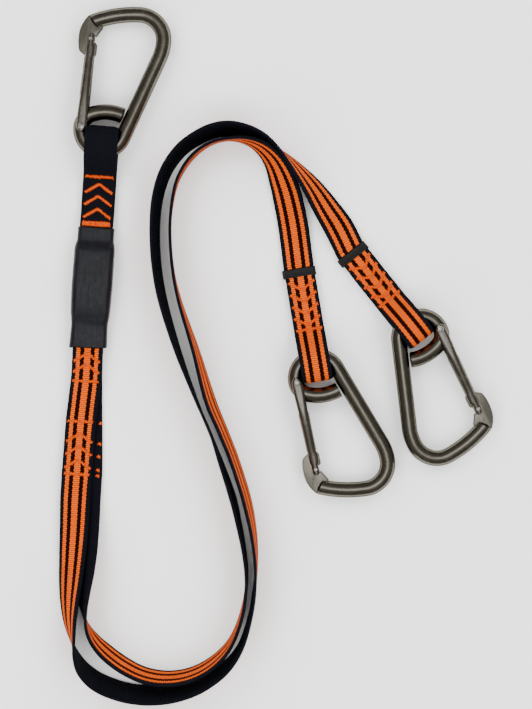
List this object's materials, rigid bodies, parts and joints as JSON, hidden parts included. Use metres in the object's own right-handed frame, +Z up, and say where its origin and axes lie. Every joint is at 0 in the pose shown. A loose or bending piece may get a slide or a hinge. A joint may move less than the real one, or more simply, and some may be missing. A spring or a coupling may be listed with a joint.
{
  "type": "shock absorbing lanyard",
  "caption": "Twin-leg webbing lanyard with a sleeved tear-web energy absorber and a gated snap hook at each end, lying flat.",
  "frame": {"origin": "middle of the base of the whole lanyard as it lies on a floor", "axes": "+Z up from the floor; +Y along the longest extent, towards the harness hook; +X towards the two leg hooks"},
  "size_m": [0.3205, 0.514, 0.023],
  "materials": {
    "web_black": "matt ribbed weave",
    "web_striped": "woven stripes, black on the other face",
    "tear_web": "plain weave",
    "thread_orange": "bonded thread",
    "thread_pale": "bonded thread",
    "sleeve": "satin shrink sleeve",
    "label": "moulded band",
    "steel_bar": "polished stainless steel",
    "steel_gate": "bright stainless sheet",
    "steel_pin": "stainless",
    "steel_spring": "spring wire"
  },
  "bodies": {
    "lanyard": {"absorber_loop_webbing": "web_black", "absorber_tear_webbing": "tear_web", "absorber_tear_stitching": "thread_pale", "absorber_sleeve": "sleeve", "left_leg_webbing": "web_striped", "right_leg_webbing": "web_striped", "left_label_band": "label", "right_label_band": "label", "harness_loop_stitching": "thread_orange", "upper_joint_stitching": "thread_orange", "lower_joint_stitching": "thread_orange", "left_hook_stitching": "thread_orange", "right_hook_stitching": "thread_orange"},
    "harness_hook": {"harness_hook_body": "steel_bar", "harness_hook_pivot_rivet": "steel_pin"},
    "harness_gate": {"harness_hook_gate": "steel_gate", "harness_hook_catch_pin": "steel_pin", "harness_hook_spring": "steel_spring"},
    "harness_plunger": {"harness_hook_plunger": "steel_pin"},
    "left_hook": {"left_hook_body": "steel_bar", "left_hook_pivot_rivet": "steel_pin"},
    "left_gate": {"left_hook_gate": "steel_gate", "left_hook_catch_pin": "steel_pin", "left_hook_spring": "steel_spring"},
    "left_plunger": {"left_hook_plunger": "steel_pin"},
    "right_hook": {"right_hook_body": "steel_bar", "right_hook_pivot_rivet": "steel_pin"},
    "right_gate": {"right_hook_gate": "steel_gate", "right_hook_catch_pin": "steel_pin", "right_hook_spring": "steel_spring"},
    "right_plunger": {"right_hook_plunger": "steel_pin"}
  },
  "joints": [
    {"name": "harness_hook_swing", "type": "hinge", "parent": "lanyard", "child": "harness_hook", "pos_m": [-0.1282, 0.15053, 0.0098], "axis": [0.9976, -0.0698, 0], "range_deg": [-10, 35]},
    {"name": "harness_gate_hinge", "type": "hinge", "parent": "harness_hook", "child": "harness_gate", "pos_m": [-0.14249, 0.1682, 0.00916], "axis": [-0.0027, -0.0384, -0.9993], "range_deg": [0, 25], "stiffness_Nm_per_rad": 0.4, "springref_deg": -17.19},
    {"name": "harness_plunger_slide", "type": "slide", "parent": "harness_gate", "child": "harness_plunger", "axis": [0.1045, 0.9938, -0.0385], "range_m": [0, 0.0059], "deforming": ["harness_hook_spring"]},
    {"name": "left_hook_swing", "type": "hinge", "parent": "lanyard", "child": "left_hook", "pos_m": [0.0283, -0.00097, 0.0098], "axis": [-0.9863, -0.165, 0], "range_deg": [-10, 35]},
    {"name": "left_gate_hinge", "type": "hinge", "parent": "left_hook", "child": "left_gate", "pos_m": [0.01581, -0.02014, 0.00915], "axis": [0.0064, -0.0381, 0.9993], "range_deg": [0, 25], "stiffness_Nm_per_rad": 0.4, "springref_deg": -17.19},
    {"name": "left_plunger_slide", "type": "slide", "parent": "left_gate", "child": "left_plunger", "axis": [0.2129, -0.9763, -0.0386], "range_m": [0, 0.0059], "deforming": ["left_hook_spring"]},
    {"name": "right_hook_swing", "type": "hinge", "parent": "lanyard", "child": "right_hook", "pos_m": [0.0969, 0.02543, 0.0098], "axis": [-0.7826, -0.6225, 0], "range_deg": [-10, 35]},
    {"name": "right_gate_hinge", "type": "hinge", "parent": "right_hook", "child": "right_gate", "pos_m": [0.1209, 0.01952, 0.00901], "axis": [-0.0251, 0.0315, -0.9992], "range_deg": [0, 25], "stiffness_Nm_per_rad": 0.4, "springref_deg": -17.19},
    {"name": "right_plunger_slide", "type": "slide", "parent": "right_gate", "child": "right_plunger", "axis": [0.43, -0.902, -0.0392], "range_m": [0, 0.0059], "deforming": ["right_hook_spring"]}
  ],
  "couplings": [
    {"joint": "harness_plunger_slide", "follows": "harness_gate_hinge", "m_per_rad": 0.0134},
    {"joint": "left_plunger_slide", "follows": "left_gate_hinge", "m_per_rad": 0.0134},
    {"joint": "right_plunger_slide", "follows": "right_gate_hinge", "m_per_rad": 0.0134}
  ]
}
